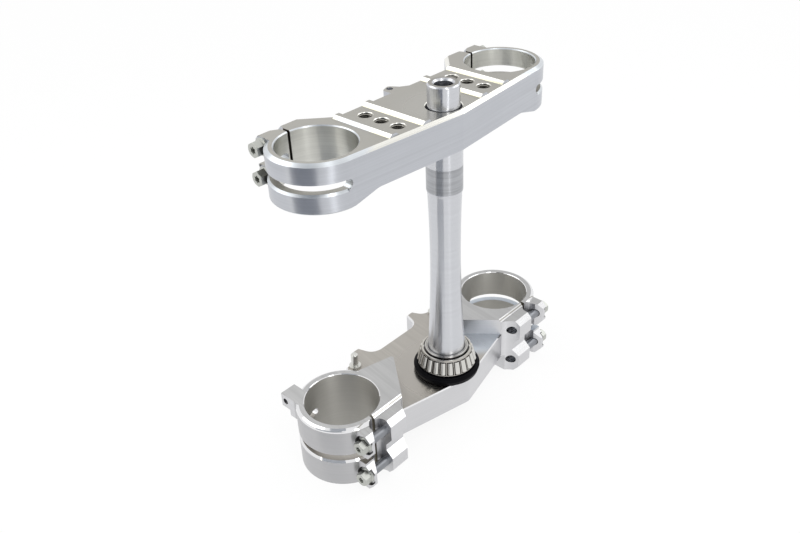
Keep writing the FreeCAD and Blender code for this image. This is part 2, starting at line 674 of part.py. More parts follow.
def lower_clamp():
    """The lower clamp, milled from one billet, with the pinch lugs behind its rings."""
    beam = plate("lower_beam", "XY_Plane", both_sides([
        ("0", "-lower_rear_apex"),
        ("lower_rear_corner_x", "lower_rear_corner_y"),
        ("lower_web_x", "ground_rear"),
        ("lower_web_x", "fork_y"),
        ("lower_front_flat_x", "lower_front"),
    ]), "0", "lower_floor", {0: "lower_apex_round"})
    rear_end = sheet.get("ground_rear") + sheet.get("overrun")
    bevelled(beam, along_rim("lower_floor", -math.inf, rear_end), "lower_rear_bevel", "lower_rear_bevel")
    boss = post("seal_boss", "boss_radius", "lower_floor - overrun", "boss_top")
    ring = bind(turned("lower_ring", [
        ("0", "lower_ring_foot"),
        ("lower_ring_radius - foot_bevel", "lower_ring_foot"),
        ("lower_ring_radius", "lower_ring_foot + foot_bevel"),
        ("lower_ring_radius", "lower_top - lower_rim_deep"),
        ("lower_ring_radius - lower_rim_brow_wide", "lower_top - lower_rim_brow_deep"),
        ("lower_ring_radius - lower_rim_wide", "lower_top"),
        ("0", "lower_top"),
    ]), x="fork_x", y="fork_y")
    step = plate("lower_step", "XY_Plane", [
        ("step_corner_x", "ground_rear"),
        ("fork_x", "ground_rear"),
        ("fork_x", "fork_y"),
        ("step_corner_x", "step_front_y"),
        ("step_nose_x", "step_nose_y"),
    ], "0", "lower_top", {4: "step_nose_round"})
    lug = plate("lower_lug", "YZ_Plane", [
        ("0", "shelf"),
        ("lug_brow_y", "shelf"),
        ("lug_face_y", "shelf - lug_brow_drop"),
        ("lug_face_y", "lug_face_foot"),
        ("lug_valley_y", "lug_valley_top"),
        ("lug_valley_y", "lug_valley_foot"),
        ("lug_face_y", "lug_chin_top"),
        ("lug_face_y", "lug_chin_foot"),
        ("lug_brow_y", "lower_ring_foot"),
        ("0", "lower_ring_foot"),
    ], "step_corner_x", "lug_outer_x")
    scallop = post("lower_scallop", "scallop_radius", "lower_ring_foot - overrun", "shelf + overrun",
                   "scallop_x", "scallop_y")
    ear = plate("lower_ear", "XY_Plane", [
        ("ear_root_x", "ear_root_y"),
        ("ear_root_x", "lower_front"),
        ("lower_front_flat_x", "lower_front"),
        ("ear_hollow_x", "ear_hollow_y"),
        ("ear_tip_inner_x", "ear_tip_inner_y"),
        ("ear_tip_outer_x", "ear_tip_outer_y"),
        ("ear_waist_x", "ear_waist_y"),
        ("ear_boss_x", "ear_boss_y"),
        ("ear_heel_x", "ear_heel_y"),
        ("ear_join_x", "ear_join_y"),
        ("lower_web_x", "ear_root_y"),
    ], "0", "lower_floor", {3: "ear_hollow_round", 4: "ear_tip_round", 5: "ear_tip_round",
                            6: "ear_waist_round", 7: "ear_boss_round"})
    bevelled(ear, along_rim("lower_floor", sheet.get("lower_front") + sheet.get("overrun"), math.inf),
             "ear_bevel", "ear_bevel")
    heel = doc.addObject("Part::Box", "lower_heel")
    bind(heel, Length="lug_heel_x - step_corner_x + overrun", Width="2 * overrun - lug_face_y",
         Height="overrun - lower_ring_foot", x="step_corner_x - overrun",
         y="lug_face_y - overrun", z="lower_ring_foot - overrun")
    side = fuse("lower_side", ring, step, cut("lower_lug_hollowed", lug, scallop, heel), ear)
    guide_lug = plate("guide_lug", "YZ_Plane", [
        ("guide_root", "lower_top"),
        ("guide_root", "guide_root_foot"),
        ("guide_bend", "guide_root_foot"),
        ("guide_bend", "guide_tip_foot"),
        ("guide_front", "guide_tip_foot"),
        ("guide_front", "lower_top"),
    ], "-guide_outer_x", "-guide_inner_x")
    blank = fuse("lower_blank", beam, boss, side, mirrored(side), guide_lug)

    shelf_cut = plate("lower_shelf", "YZ_Plane", [
        ("ground_rear + shelf_bevel", "lower_top + overrun"),
        ("ground_rear + shelf_bevel", "lower_top"),
        ("ground_rear", "lower_top - shelf_bevel"),
        ("ground_rear", "shelf"),
        ("lug_face_y - overrun", "shelf"),
        ("lug_face_y - overrun", "lower_top + overrun"),
    ], "step_corner_x - overrun", "slit_x")
    gap_end = post("lower_gap_end", "gap_radius", "lower_ring_foot - overrun", "lower_top + overrun",
                   "gap_x", "gap_y")
    gap = plate("lower_gap", "XY_Plane", [
        ("gap_inner_x", "gap_y"),
        ("gap_inner_x", "lug_face_y - overrun"),
        ("gap_mouth_x", "lug_face_y - overrun"),
        ("gap_x + gap_radius", "gap_y"),
    ], "lower_ring_foot - overrun", "lower_top + overrun")
    slit = plate("lower_slit", "XY_Plane", [
        ("slit_x - slit_width / 2", "gap_y"),
        ("slit_x + slit_width / 2", "gap_y"),
        ("slit_x + slit_width / 2", "fork_y"),
        ("slit_x - slit_width / 2", "fork_y"),
    ], "lower_ring_foot - overrun", "lower_top + overrun")
    bore = hole("lower_bore", "lower_bore_radius", "lower_bore_bevel",
                "lower_ring_foot", "lower_top", "fork_x", "fork_y")
    bolts = bolt_holes("lower_bolts", "lower_bolt_seat_x", "gap_x", "step_corner_x",
                       "lower_bolt_y", "lower_bolt_high", "lower_bolt_low")
    slot = level_slot("lower_slot", "lower_ring_radius", "lower_slot_foot")
    stud_hole = post("stud_hole", "stud_radius", "lower_floor - stud_thread_deep", "lower_floor + overrun",
                     "stud_x", "stud_y")
    side_tools = fuse("lower_side_tools", shelf_cut, gap_end, gap, slit, bore, stud_hole, *bolts, *slot)
    stem_hole = post("lower_stem_hole", "stem_seat_radius", "-overrun", "boss_top + overrun")
    guide_hole = rod("guide_hole", "X", "guide_hole_radius", "-(guide_outer_x + overrun)",
                     "overrun - guide_inner_x", y="guide_hole_y", z="guide_hole_z")
    return cut("lower_clamp", blank, side_tools, mirrored(side_tools), stem_hole, guide_hole)


def steering_stem():
    """The hollow stem, turned from one bar."""
    return turned("steering_stem", [
        ("stem_bore_radius", "0"),
        ("stem_seat_radius - stem_foot_bevel", "0"),
        ("stem_seat_radius", "stem_foot_bevel"),
        ("stem_seat_radius", "stem_seat_top"),
        ("stem_waist_end_radius", "stem_waist_end"),
        ("upper_bearing_radius", "upper_bearing_foot"),
        ("upper_bearing_radius", "upper_beam_foot"),
        ("stem_clamp_radius", "upper_beam_foot"),
        ("stem_clamp_radius", "stem_neck_foot"),
        ("stem_neck_radius", "stem_neck_foot"),
        ("stem_neck_radius", "stem_top - stem_top_bevel"),
        ("stem_neck_radius - stem_top_bevel", "stem_top"),
        ("stem_bore_radius + stem_bore_bevel", "stem_top"),
        ("stem_bore_radius", "stem_top - stem_bore_bevel"),
    ], {3: "stem_waist_arc"})


TILT = "(roller_tilt * 1 deg)"
SMALL_RADIUS = f"roller_radius * (1 - roller_length * sin{TILT} / roller_pitch_radius)"
FAR_END = "roller_length + roller_end_gap"


def beside_roller(step, inward):
    """Radius and height of a point this far along a roller and this far inside its axis."""
    radius = f"roller_pitch_radius - ({step}) * sin{TILT} - ({inward}) * cos{TILT}"
    height = f"roller_foot + ({step}) * cos{TILT} - ({inward}) * sin{TILT}"
    return radius, height


def across_rollers(step, radius):
    """Height, at this radius, of the plane across the rollers this far along them."""
    return f"roller_foot + ({step}) / cos{TILT} - (roller_pitch_radius - ({radius})) * tan{TILT}"


def bearing_cone():
    """The bearing's inner ring: a tapered track between a wide rib and a narrow one."""
    return turned("bearing_cone", [
        ("stem_seat_radius", "cone_foot"),
        ("cone_flange_radius", "cone_foot"),
        ("cone_flange_radius", across_rollers("-roller_end_gap", "cone_flange_radius")),
        beside_roller("-roller_end_gap", "roller_radius + roller_gap"),
        beside_roller(FAR_END, f"{SMALL_RADIUS} + roller_gap"),
        ("cone_top_radius", across_rollers(FAR_END, "cone_top_radius")),
        ("cone_top_radius", "cone_foot + cone_height - cone_bevel"),
        ("cone_top_radius - cone_bevel", "cone_foot + cone_height"),
        ("stem_seat_radius + cone_bevel", "cone_foot + cone_height"),
        ("stem_seat_radius", "cone_foot + cone_height - cone_bevel"),
    ])


def roller(name, place, gap="0"):
    """A tapered roller at its place in the circle, or the tool for its window when given a gap."""
    angle = f"(first_roller_angle + 360 * {place} / roller_count)"
    turn = math.radians(SIZES["first_roller_angle"] + 360 * place / SIZES["roller_count"])
    cone = doc.addObject("Part::Cone", name)
    cone.Placement.Rotation = FreeCAD.Rotation(FreeCAD.Vector(-math.sin(turn), math.cos(turn), 0), -1)
    cone.setExpression(".Placement.Rotation.Angle", formula(f"-{TILT}"))
    radius = f"(roller_pitch_radius + {gap} * sin{TILT})"
    return bind(cone, Radius1=f"roller_radius + {gap}", Radius2=f"{SMALL_RADIUS} + {gap}",
                Height=f"roller_length + 2 * {gap}",
                x=f"{radius} * cos({angle} * 1 deg)", y=f"{radius} * sin({angle} * 1 deg)",
                z=f"roller_foot - {gap} * cos{TILT}")


def bearing_cage():
    """The pressed cage that spaces the rollers, with a window for each."""
    shell = turned("cage_shell", [
        ("cage_foot_radius", "cage_foot"),
        ("cage_top_radius", "cage_top"),
        ("cage_lip_radius", "cage_top"),
        ("cage_lip_radius", "cage_top - cage_wall"),
        ("cage_top_radius - cage_wall", "cage_top - cage_wall"),
        ("cage_foot_radius - cage_wall", "cage_foot"),
    ])
    windows = [
        roller(f"cage_window_{place + 1}", place, "cage_window_gap")
        for place in range(SIZES["roller_count"])
    ]
    return cut("bearing_cage", shell, *windows)


def dust_seal():
    """The rubber seal under the bearing, its flange held between the cone and the boss."""
    return turned("dust_seal", [
        ("stem_seat_radius", "boss_top"),
        ("stem_seat_radius", "cone_foot"),
        ("seal_well_radius", "cone_foot"),
        ("seal_well_radius + seal_groove", "seal_shoulder_top"),
        ("seal_shoulder_radius", "seal_shoulder_top"),
        ("seal_step_radius", "seal_step_top"),
        ("seal_step_radius", "seal_step_top - seal_groove"),
        ("seal_radius", "seal_lip_height"),
        ("seal_radius", "seal_lip_height - seal_lip"),
        ("seal_radius - seal_lip", "lower_floor + seal_skirt"),
        ("seal_inner_radius", "lower_floor + seal_skirt"),
        ("seal_inner_radius", "boss_top"),
    ])


def bolt_pattern_piece():
    """One flanged pinch bolt, its seat at the origin and its head along +Z."""
    body = turned("bolt_body", [
        ("0", "-bolt_length"),
        ("bolt_radius - bolt_point", "-bolt_length"),
        ("bolt_radius", "bolt_point - bolt_length"),
        ("bolt_radius", "0"),
        ("flange_radius", "0"),
        ("flange_radius", "flange_thick - flange_slope"),
        ("head_bevel_radius", "flange_thick"),
        ("0", "flange_thick"),
    ])
    hexagon = doc.addObject("Part::Prism", "bolt_hexagon")
    hexagon.Polygon = 6
    bind(hexagon, Circumradius="head_across / 2 / cos(30 deg)", Height="head_height")
    crown = turned("bolt_crown", [
        ("0", "0"),
        ("flange_radius", "0"),
        ("flange_radius", "head_height - head_crown_deep"),
        ("head_bevel_radius", "head_height"),
        ("0", "head_height"),
    ])
    head = doc.addObject("Part::Common", "bolt_head")
    head.Base = hexagon
    head.Tool = crown
    recess = [post("bolt_recess", "recess_radius", "head_height - recess_deep", "head_height + overrun")]
    for lobe in range(6):
        recess.append(post(f"bolt_recess_lobe_{lobe + 1}", "recess_lobe", "head_height - recess_deep",
                           "head_height + overrun", f"recess_radius * cos({60 * lobe} deg)",
                           f"recess_radius * sin({60 * lobe} deg)"))
    return cut("bolt_pattern", fuse("bolt_blank", body, head), *recess)


def placed_bolt(name, pattern, sign, seat, y, z):
    """A copy of the bolt, its head pointing away from the middle of the clamp."""
    copy = doc.addObject("Part::Compound", name)
    copy.Links = [pattern]
    copy.Placement.Rotation = FreeCAD.Rotation(UP, FreeCAD.Vector(sign, 0, 0))
    return bind(copy, x=f"{sign} * ({seat})", y=y, z=z)


def locating_stud(name, sign):
    """A stud with a collar, screwed into the lower clamp's floor."""
    stud = turned(name, [
        ("0", "-(stud_thread_deep - stud_point)"),
        ("stud_radius", "-(stud_thread_deep - stud_point)"),
        ("stud_radius", "0"),
        ("stud_flange_radius", "0"),
        ("stud_flange_radius", "stud_flange_thick"),
        ("stud_radius", "stud_flange_thick"),
        ("stud_radius", "stud_height - stud_point"),
        ("stud_radius - stud_point", "stud_height"),
        ("0", "stud_height"),
    ])
    return bind(stud, x=f"{sign} * stud_x", y="stud_y", z="lower_floor")


nodes = {
    "upper_clamp": upper_clamp(),
    "lower_clamp": lower_clamp(),
    "steering_stem": steering_stem(),
    "bearing_cone": bearing_cone(),
    "bearing_cage": bearing_cage(),
    "dust_seal": dust_seal(),
}
for place in range(SIZES["roller_count"]):
    name = f"roller_{place + 1:02d}"
    nodes[name] = roller(name, place)
pattern = bolt_pattern_piece()
for side, sign in (("right", 1), ("left", -1)):
    for level in ("high", "low"):
        name = f"upper_pinch_bolt_{side}_{level}"
        nodes[name] = placed_bolt(name, pattern, sign, "upper_bolt_seat_x", "upper_bolt_y",
                                  f"upper_bolt_{level}")
        name = f"lower_pinch_bolt_{side}_{level}"
        nodes[name] = placed_bolt(name, pattern, sign, "lower_bolt_seat_x", "lower_bolt_y",
                                  f"lower_bolt_{level}")
    name = f"locating_stud_{side}"
    nodes[name] = locating_stud(name, sign)
doc.recompute()

for item in doc.Objects:
    if "Invalid" in item.State or "Error" in item.State:
        raise RuntimeError(f"{item.Name} failed: {item.State}")
os.makedirs("parts", exist_ok=True)
for name, item in nodes.items():
    item.Label = name
    shape = item.Shape
    if shape.isNull() or not shape.isValid() or len(shape.Solids) != 1:
        raise RuntimeError(f"{name} isn't one valid solid")
    shape.exportStep(f"parts/{name}.step")
    print(name, round(shape.Volume), "mm3")
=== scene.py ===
import json
import math

import bmesh
import bpy
from mathutils import Matrix, Vector


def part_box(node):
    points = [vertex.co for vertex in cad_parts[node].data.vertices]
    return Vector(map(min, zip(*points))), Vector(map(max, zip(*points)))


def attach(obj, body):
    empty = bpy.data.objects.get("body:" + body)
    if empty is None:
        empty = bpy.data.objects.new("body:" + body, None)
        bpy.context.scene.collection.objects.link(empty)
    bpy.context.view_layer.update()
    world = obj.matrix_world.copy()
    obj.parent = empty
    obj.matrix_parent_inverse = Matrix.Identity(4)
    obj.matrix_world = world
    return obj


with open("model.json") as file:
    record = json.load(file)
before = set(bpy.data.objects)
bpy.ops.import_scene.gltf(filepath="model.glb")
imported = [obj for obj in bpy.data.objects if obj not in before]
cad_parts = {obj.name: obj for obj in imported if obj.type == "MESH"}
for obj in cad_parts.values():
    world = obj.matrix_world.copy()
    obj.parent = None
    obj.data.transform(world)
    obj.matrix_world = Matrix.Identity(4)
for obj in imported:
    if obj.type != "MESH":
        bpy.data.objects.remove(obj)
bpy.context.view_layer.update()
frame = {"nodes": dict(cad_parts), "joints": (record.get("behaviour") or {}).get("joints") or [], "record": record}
nodes = frame["nodes"]

# The lower clamp is milled from a billet of aluminium: two split rings joined by a low beam.
# Its floor keeps the long lines of the cutter, the rings are turned and polished round their
# rims, and every edge is broken by a fraction of a millimetre.
mounts = {mount["name"]: mount for mount in frame["record"]["mounts"]}
lower_fork = mounts["lower_fork_clamp_right"]
FORK_LEG = (*lower_fork["pos_m"][:2], 0.0)
LOWER_BORE = lower_fork["dims"]["r_mm"] / 1000
BORE_SKIN = 0.0004                      # how far past a bore's radius still counts as its wall
LOWER_RING = (0.0366, 0.0385)           # from the fork leg's axis, where the ring ends
PLATEAU = (0.027, 0.029)                # heights between the beam's floor and its high ground
REFLECTION_ACROSS = (0.010, 0.030)            # the part of the floor with a painted cool reflection, by X - Y
REFLECTION_ALONG = (0.012, 0.030)             # and by X + Y
SEAL_POLISH = (0.036, 0.050)            # from the stem's axis, where the floor's polish ends
FLOOR_SWEEP = math.radians(8.0)         # how far the cutter's lines turn from the beam's length
LEDGE_REAR = -0.0084                    # the rear edge of the ledge behind each ring, by Y
LEDGE_WIDE = 0.0022
LEDGE_FOOT = 0.0375                     # the height above which the ledge lies
LEDGE_STRIPE = (0.12, 0.26)             # from the ledge's middle, in its own widths
SLIT_X = 0.0965                         # the middle of the saw slit in each ring
SLIT_HALF = 0.0011
SLIT_SKIN = 0.00005
FLANGE_SEAT = 0.1112                    # the bolts' flanges sit just outside this X
FLANGE_SHADOW_RING = (0.0072, 0.0084)          # inner and outer radius of the painted shadow round a flange
SIDE_ROUGH = 0.34
FLOOR_ROUGH = 0.36
POLISHED_ROUGH = 0.2                    # of the floor beside the seal
BORE_ROUGH = 0.5
SLOPE_ROUGH = 0.2
RING_LIP_ROUGH = 0.06
WARM_FLOOR = (0.42, 0.40, 0.37)
# the cool blue of a painted reflection on part of the floor
PAINTED_BLUE_REFLECTION = (0.54, 0.58, 0.63)
HIGH_GREY = (0.46, 0.46, 0.46)
BEAM_SIDE = (0.64, 0.64, 0.655)
RING_SIDE = (0.49, 0.49, 0.50)
LOWER_BORE_GREY = (0.46, 0.45, 0.42)
BRIGHT_SLOPE = (0.80, 0.80, 0.81)
LEDGE_GREY = (0.40, 0.39, 0.36)
FLANGE_SHADOW = (0.10, 0.10, 0.10)
LOWER_SLIT_SHADE = (0.16, 0.14, 0.10)


def shade(tree, kind, inputs=None, **settings):
    """A shader node with its settings, each input set to a value or joined to another's output."""
    new = tree.nodes.new(kind)
    for name, value in settings.items():
        setattr(new, name, value)
    for name, value in (inputs or {}).items():
        if isinstance(value, bpy.types.NodeSocket):
            tree.links.new(value, new.inputs[name])
        else:
            new.inputs[name].default_value = value
    return new


def sums(tree, operation, *values):
    """The result of one sum on sockets or numbers."""
    return shade(tree, "ShaderNodeMath", dict(enumerate(values)), operation=operation).outputs[0]


def vectors(tree, operation, *values):
    """The outputs of one sum on vectors: a Vector or a Value."""
    return shade(tree, "ShaderNodeVectorMath", dict(enumerate(values)), operation=operation).outputs


def inverse(tree, mask):
    """One where the mask is nought, and nought where it is one."""
    return sums(tree, "SUBTRACT", 1.0, mask)


def between(tree, value, low, high):
    """Nought below low, one above high, and smooth between them."""
    ramp = shade(tree, "ShaderNodeMapRange", {"Value": value, "From Min": low, "From Max": high},
                 interpolation_type="SMOOTHSTEP")
    return ramp.outputs["Result"]


def blend(tree, kind, share, below, above):
    """One vector or number turning into another as the share goes from nought to one."""
    mix = shade(tree, "ShaderNodeMix", {"Factor": share, "A": below, "B": above}, data_type=kind)
    return mix.outputs["Result"]


def paint(tree, share, *colours):
    """One colour turning into another as the share goes from nought to one."""
    below, above = [(*colour, 1.0) if isinstance(colour, tuple) else colour for colour in colours]
    return blend(tree, "RGBA", share, below, above)


def apart(tree, vector):
    """The X, Y and Z of a vector."""
    return shade(tree, "ShaderNodeSeparateXYZ", {"Vector": vector}).outputs


def flat(tree, x, y):
    """A vector with X and Y and no height."""
    return shade(tree, "ShaderNodeCombineXYZ", {"X": x, "Y": y}).outputs["Vector"]


def placed(tree, group, values=None):
    """The outputs of a group that is set in the tree with its own values."""
    return shade(tree, "ShaderNodeGroup", values, node_tree=group).outputs


def effect(name, values, results):
    """An empty shader group with its named inputs and outputs, and its two end nodes' sockets."""
    group = bpy.data.node_groups.new(name, "ShaderNodeTree")
    for label, kind, value in values:
        socket = group.interface.new_socket(label, in_out="INPUT", socket_type=kind)
        if value is not None:
            socket.default_value = value
    for label, kind in results:
        group.interface.new_socket(label, in_out="OUTPUT", socket_type=kind)
    start = group.nodes.new("NodeGroupInput")
    end = group.nodes.new("NodeGroupOutput")
    return group, start.outputs, end.inputs


def levelness(tree):
    """One on level faces, nought on upright ones, and in between on slopes."""
    looks = tree.nodes.new("ShaderNodeNewGeometry").outputs["True Normal"]
    return sums(tree, "ABSOLUTE", apart(tree, looks)["Z"])


# Which way a face looks: masks for level tops, slopes and upright sides.
LEVEL = (0.93, 0.98)
UPRIGHT = (0.08, 0.2)
facing, _, found = effect("Facing", [], [
    ("Top", "NodeSocketFloat"), ("Slope", "NodeSocketFloat"), ("Side", "NodeSocketFloat")])
level = levelness(facing)
top = between(facing, level, *LEVEL)
side = inverse(facing, between(facing, level, *UPRIGHT))
facing.links.new(top, found["Top"])
facing.links.new(side, found["Side"])
facing.links.new(sums(facing, "SUBTRACT", inverse(facing, top), side), found["Slope"])

# Tool lines: fine parallel scratches, drawn long by a stretched noise.
FINE_SHARE = 0.6
tool_lines, given, found = effect("Tool lines", [
    ("Place", "NodeSocketVector", None), ("Lines per metre", "NodeSocketVector", (4.0, 4.0, 2500.0)),
    ("Depth", "NodeSocketFloat", 0.5)], [("Shade", "NodeSocketFloat"), ("Height", "NodeSocketFloat")])
stretched = vectors(tool_lines, "MULTIPLY", given["Place"], given["Lines per metre"])["Vector"]
fine = shade(tool_lines, "ShaderNodeTexNoise", {"Vector": stretched, "Scale": 1.0, "Detail": 3.0,
                                                "Roughness": 0.7}).outputs["Fac"]
wide = shade(tool_lines, "ShaderNodeTexNoise", {"Vector": stretched, "Scale": 0.16,
                                                "Detail": 2.0}).outputs["Fac"]
mixed = sums(tool_lines, "ADD", sums(tool_lines, "MULTIPLY", fine, FINE_SHARE),
             sums(tool_lines, "MULTIPLY", wide, 1.0 - FINE_SHARE))
centred = sums(tool_lines, "SUBTRACT", mixed, 0.5)
tool_lines.links.new(sums(tool_lines, "MULTIPLY", centred, given["Depth"]), found["Shade"])
tool_lines.links.new(mixed, found["Height"])

# Handling: broad soft patches where the surface was wiped, and a faint fine speckle.
PATCH_SHARE = 0.65
handling, given, found = effect("Handling", [
    ("Place", "NodeSocketVector", None), ("Amount", "NodeSocketFloat", 0.5)], [("Shade", "NodeSocketFloat")])
patches = shade(handling, "ShaderNodeTexNoise", {"Vector": given["Place"], "Scale": 28.0,
                                                 "Detail": 3.0}).outputs["Fac"]
speckle = shade(handling, "ShaderNodeTexNoise", {"Vector": given["Place"], "Scale": 1600.0,
                                                 "Detail": 1.0}).outputs["Fac"]
both = sums(handling, "ADD", sums(handling, "MULTIPLY", patches, PATCH_SHARE),
            sums(handling, "MULTIPLY", speckle, 1.0 - PATCH_SHARE))
centred = sums(handling, "SUBTRACT", both, 0.5)
handling.links.new(sums(handling, "MULTIPLY", centred, given["Amount"]), found["Shade"])


def new_material(name):
    """An empty material, with its tree and its shader."""
    material = bpy.data.materials.new(name)
    material.use_nodes = True
    tree = material.node_tree
    return material, tree, tree.nodes["Principled BSDF"]


def new_metal(name):
    """An empty metal material, with its tree, its shader and the place on the surface."""
    material, tree, shader = new_material(name)
    shader.inputs["Metallic"].default_value = 1.0
    return material, tree, shader, on_surface(tree)


def on_surface(tree):
    """The place on the surface, which is the same as in the frame."""
    return tree.nodes.new("ShaderNodeTexCoord").outputs["Object"]


def lit(tree, colour, *shades):
    """The colour made lighter or darker by the shades, which stand around nought."""
    for value in shades:
        colour = vectors(tree, "MULTIPLY", colour, sums(tree, "ADD", 1.0, value))["Vector"]
    return colour


def worn(tree, where, amount):
    """The shade that handling gives the surface."""
    return placed(tree, handling, {"Place": where, "Amount": amount})["Shade"]


def lined(tree, where, lines_per_metre, depth):
    """The shade and the height of the tool's lines, with their count along each axis."""
    return placed(tree, tool_lines, {"Place": where, "Lines per metre": lines_per_metre, "Depth": depth})


def grain(tree, shader, height, strength):
    """Press the height into the surface as fine relief."""
    bump = shade(tree, "ShaderNodeBump", {"Height": height, "Strength": strength, "Distance": 0.0002})
    tree.links.new(bump.outputs["Normal"], shader.inputs["Normal"])


def grooved(tree, shader, across_top, amount):
    """Draw the gloss out across the tool's grooves: up and down on the sides, one way on the tops."""
    on_top = between(tree, levelness(tree), *LEVEL)
    shader.inputs["Anisotropic"].default_value = amount
    tree.links.new(blend(tree, "VECTOR", on_top, (0.0, 0.0, 1.0), across_top), shader.inputs["Tangent"])


def give(material, *names):
    """Put the material on CAD nodes."""
    for name in names:
        slots = nodes[name].data.materials
        slots.clear()
        slots.append(material)


def break_edges(*names, wide=0.0002):
    """Take the sharpness off the corners, as a file or a deburring wheel does."""
    for name in names:
        weld = nodes[name].modifiers.new("Joined corners", "WELD")
        weld.merge_threshold = 0.000002
        broken = nodes[name].modifiers.new("Broken edges", "BEVEL")
        broken.width = wide
        broken.segments = 2
        broken.limit_method = "ANGLE"
        broken.angle_limit = math.radians(28.0)
        level_faces = nodes[name].modifiers.new("Level faces", "WEIGHTED_NORMAL")
        level_faces.keep_sharp = True


def off_axis(tree, vector):
    """The vector without its height, and how long it then is."""
    outwards = vectors(tree, "MULTIPLY", vector, (1.0, 1.0, 0.0))["Vector"]
    return outwards, vectors(tree, "LENGTH", outwards)["Value"]


def off_leg(tree, position):
    """The distance from the axis of the nearer fork leg."""
    beside = flat(tree, sums(tree, "ABSOLUTE", position["X"]), position["Y"])
    return vectors(tree, "DISTANCE", beside, FORK_LEG)["Value"]


def flange_shadows(tree, position, top_mask, high, low):
    """One on the narrow ring of the clamp round each bolt's flange, where the flange's shadow is painted, for a
    pair of bolts on the right and the same pair on the left.
    """
    (from_corner, to_corner), low_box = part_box(high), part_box(low)
    middle_y = (from_corner[1] + to_corner[1]) / 2
    middle_z = (low_box[0][2] + to_corner[2]) / 2
    aside = sums(tree, "SUBTRACT", position["Y"], middle_y)
    above = sums(tree, "ABSOLUTE", sums(tree, "SUBTRACT", position["Z"], middle_z))
    above = sums(tree, "SUBTRACT", above, (from_corner[2] + to_corner[2]) / 2 - middle_z)
    from_bolt = vectors(tree, "LENGTH", flat(tree, aside, above))["Value"]
    ring = sums(tree, "MULTIPLY", sums(tree, "GREATER_THAN", from_bolt, FLANGE_SHADOW_RING[0]),
                sums(tree, "LESS_THAN", from_bolt, FLANGE_SHADOW_RING[1]))
    by_seat = sums(tree, "GREATER_THAN", sums(tree, "ABSOLUTE", position["X"]), FLANGE_SEAT)
    return sums(tree, "MULTIPLY", sums(tree, "MULTIPLY", ring, by_seat), inverse(tree, top_mask))


def in_slit(tree, position, upright, past_leg):
    """One on the two upright walls of the saw slit, which are painted dark as the slit's shade. past_leg is
    GREATER_THAN where the slit lies ahead of the fork leg, and LESS_THAN where it lies behind.
    """
    aside = sums(tree, "ABSOLUTE", sums(tree, "SUBTRACT", sums(tree, "ABSOLUTE", position["X"]), SLIT_X))
    walls = sums(tree, "MULTIPLY", sums(tree, "LESS_THAN", aside, SLIT_HALF + SLIT_SKIN), upright)
    return sums(tree, "MULTIPLY", walls, sums(tree, past_leg, position["Y"], FORK_LEG[1]))


lower_metal, tree, shader, where = new_metal("Milled billet, lower clamp")
faces = placed(tree, facing)
position = apart(tree, where)
from_stem = off_axis(tree, where)[1]
from_leg = off_leg(tree, position)
past_seal = between(tree, from_stem, *SEAL_POLISH)
in_bore = sums(tree, "LESS_THAN", from_leg, LOWER_BORE + BORE_SKIN)
on_ring = inverse(tree, between(tree, from_leg, *LOWER_RING))
# Part of the floor ahead and right of the stem is painted cool blue as a painted reflection.
reflection_across = between(tree, sums(tree, "SUBTRACT", position["X"], position["Y"]), *REFLECTION_ACROSS)
reflection_along = between(tree, sums(tree, "ADD", position["X"], position["Y"]), *REFLECTION_ALONG)
floor_colour = paint(tree, sums(tree, "MULTIPLY", reflection_across, reflection_along), WARM_FLOOR, PAINTED_BLUE_REFLECTION)
floor_colour = paint(tree, between(tree, position["Z"], *PLATEAU), floor_colour, HIGH_GREY)
side_colour = paint(tree, on_ring, BEAM_SIDE, RING_SIDE)
side_colour = paint(tree, in_bore, side_colour, LOWER_BORE_GREY)
colour = paint(tree, faces["Top"], side_colour, floor_colour)
across_ledge = sums(tree, "DIVIDE", sums(tree, "SUBTRACT", position["Y"], LEDGE_REAR), LEDGE_WIDE)
from_middle = sums(tree, "ABSOLUTE", sums(tree, "SUBTRACT", across_ledge, 0.5))
on_ledge = sums(tree, "MULTIPLY", inverse(tree, between(tree, from_middle, *LEDGE_STRIPE)),
                sums(tree, "GREATER_THAN", position["Z"], LEDGE_FOOT))
slope_colour = paint(tree, on_ledge, BRIGHT_SLOPE, LEDGE_GREY)
colour = paint(tree, faces["Slope"], colour, slope_colour)
flanges = flange_shadows(tree, position, faces["Top"], "lower_pinch_bolt_right_high",
                       "lower_pinch_bolt_right_low")
# The ring round each lower bolt's flange is painted dark as the flange's shadow.
colour = paint(tree, flanges, colour, FLANGE_SHADOW)
slit = in_slit(tree, position, sums(tree, "SUBTRACT", faces["Side"], in_bore), "LESS_THAN")
# The walls of the lower clamp's saw slit are painted dark as painted shade.
colour = paint(tree, slit, colour, LOWER_SLIT_SHADE)
turned_lines = lined(tree, where, (5.0, 5.0, 2600.0), depth=0.25)
swept = shade(tree, "ShaderNodeMapping", {"Vector": where, "Rotation": (0.0, 0.0, FLOOR_SWEEP)}).outputs[0]
floor_lines = lined(tree, swept, (1100.0, 14.0, 5.0), depth=0.7)
floor_shade = sums(tree, "MULTIPLY", floor_lines["Shade"], past_seal)
lines = blend(tree, "FLOAT", faces["Top"], turned_lines["Shade"], floor_shade)
handled = worn(tree, where, amount=0.16)
tree.links.new(lit(tree, colour, lines, handled), shader.inputs["Base Color"])
floor_rough = blend(tree, "FLOAT", past_seal, POLISHED_ROUGH, FLOOR_ROUGH)
rough = blend(tree, "FLOAT", faces["Top"], SIDE_ROUGH, floor_rough)
rough = blend(tree, "FLOAT", in_bore, rough, BORE_ROUGH)
slope_rough = blend(tree, "FLOAT", on_ring, SLOPE_ROUGH, RING_LIP_ROUGH)
rough = blend(tree, "FLOAT", faces["Slope"], rough, slope_rough)
tree.links.new(sums(tree, "ADD", rough, handled), shader.inputs["Roughness"])
height = blend(tree, "FLOAT", faces["Top"], turned_lines["Height"], floor_lines["Height"])
